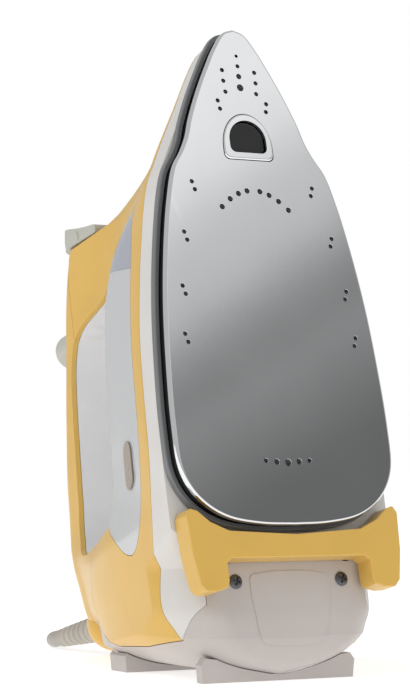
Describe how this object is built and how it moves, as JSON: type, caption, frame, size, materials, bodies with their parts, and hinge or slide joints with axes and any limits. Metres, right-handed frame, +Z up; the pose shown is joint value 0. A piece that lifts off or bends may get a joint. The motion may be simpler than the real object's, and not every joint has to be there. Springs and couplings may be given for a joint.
{
  "type": "self-lifting steam iron",
  "caption": "Steam iron standing on its heel, with a pointed sole, a looped handle, a water tank, a lifting yoke and foot, a dial and a cord",
  "frame": {"origin": "on the table, under the middle of the iron as it stands on its heel (cord left out)", "axes": "+Z up, +X across the iron, +Y from the ironing face towards the handle"},
  "size_m": [0.2082, 0.2868, 0.2957],
  "materials": {
    "sole_chrome": "mirror-polished soleplate",
    "bezel_chrome": "polished",
    "cast_aluminium": "die cast",
    "steel": "plain steel",
    "black_plastic": "matt black",
    "dark_grey_plastic": "satin dark grey",
    "white_plastic": "satin warm white",
    "sand_plastic": "satin sand yellow",
    "silver_liner": "glossy silver white",
    "tank_clear": "smoky translucent plastic",
    "soft_grey_plastic": "satin warm grey",
    "smoked_lens": "smoked gloss",
    "board_green": "circuit board",
    "sensor_blue": "moulded",
    "sensor_tan": "ceramic",
    "badge_taupe": "blank satin badge",
    "cover_grey_plastic": "satin warm grey",
    "foot_grey": "satin warm grey",
    "gear_white": "acetal",
    "foot_black": "heat-proof black",
    "valve_brass": "turned brass",
    "relief_rubber": "soft moulded grey",
    "cord_grey": "matt grey jacket",
    "tie_fabric": "hook-and-loop strap",
    "blade_brass": "plated"
  },
  "bodies": {
    "iron": {"soleplate": "sole_chrome", "front_foot_bezel": "bezel_chrome", "sole_casting": "cast_aluminium", "steam_chamber_cover": "cast_aluminium", "heating_element": "steel", "heat_shield": "black_plastic", "shield_trim": "dark_grey_plastic", "lower_skirt": "white_plastic", "body_shell": "sand_plastic", "handle_shell": "sand_plastic", "handle_liner": "silver_liner", "saddle_cover": "silver_liner", "water_tank": "tank_clear", "fill_tube": "white_plastic", "fill_door_pin": "steel", "indicator_lens": "smoked_lens", "indicator_board": "board_green", "dial_sensor": "sensor_blue", "button_spring": "steel", "button_switch": "black_plastic", "left_badge": "badge_taupe", "right_badge": "badge_taupe", "heel_cover": "cover_grey_plastic", "front_heel_foot": "foot_grey", "rear_heel_foot": "foot_grey", "heel_screw_left": "steel", "heel_screw_right": "steel", "lift_gearbox": "black_plastic", "lift_motor": "steel", "control_board": "board_green", "mains_terminal_block": "white_plastic", "temperature_sensor": "sensor_tan", "thermal_fuse": "steel", "drip_valve": "valve_brass", "water_pump": "black_plastic", "swivel_cover": "sand_plastic", "cord_run": "cord_grey", "cord_coil": "cord_grey", "coil_tie": "tie_fabric", "plug_cord": "cord_grey", "plug_body": "cord_grey", "plug_blade_left": "blade_brass", "plug_blade_right": "blade_brass"},
    "lift": {"lift_yoke": "sand_plastic", "lift_carriage": "gear_white", "lift_rack": "gear_white", "front_lift_rod": "steel", "front_lift_foot": "foot_black"},
    "pinion": {"lift_pinion": "gear_white"},
    "dial": {"temperature_dial": "soft_grey_plastic"},
    "door": {"fill_door": "soft_grey_plastic"},
    "button": {"steam_button": "soft_grey_plastic"},
    "cord_guard": {"strain_relief": "relief_rubber"}
  },
  "joints": [
    {"name": "lift_out", "type": "slide", "parent": "iron", "child": "lift", "axis": [0, -0.9721, 0.2345], "range_m": [0, 0.012]},
    {"name": "pinion_turn", "type": "hinge", "parent": "iron", "child": "pinion", "pos_m": [0, -0.07, 0.03701], "axis": [1, 0, 0], "range_deg": [0, 87]},
    {"name": "dial_turn", "type": "hinge", "parent": "iron", "child": "dial", "pos_m": [0, 0.08658, 0.15735], "axis": [0, 0.9721, -0.2345], "range_deg": [-140, 140]},
    {"name": "door_open", "type": "hinge", "parent": "iron", "child": "door", "pos_m": [0, 0.04956, 0.21072], "axis": [1, 0, 0], "range_deg": [0, 75]},
    {"name": "button_press", "type": "slide", "parent": "iron", "child": "button", "axis": [0, -0.9721, 0.2345], "range_m": [0, 0.003], "stiffness_N_per_m": 400, "deforming": ["button_spring"]},
    {"name": "cord_guard_swivel", "type": "hinge", "parent": "iron", "child": "cord_guard", "pos_m": [0, 0.05677, 0.01672], "axis": [0, 0.9846, -0.1747], "range_deg": [-180, 180]}
  ],
  "couplings": [
    {"joint": "pinion_turn", "follows": "lift_out", "rad_per_m": 125}
  ]
}
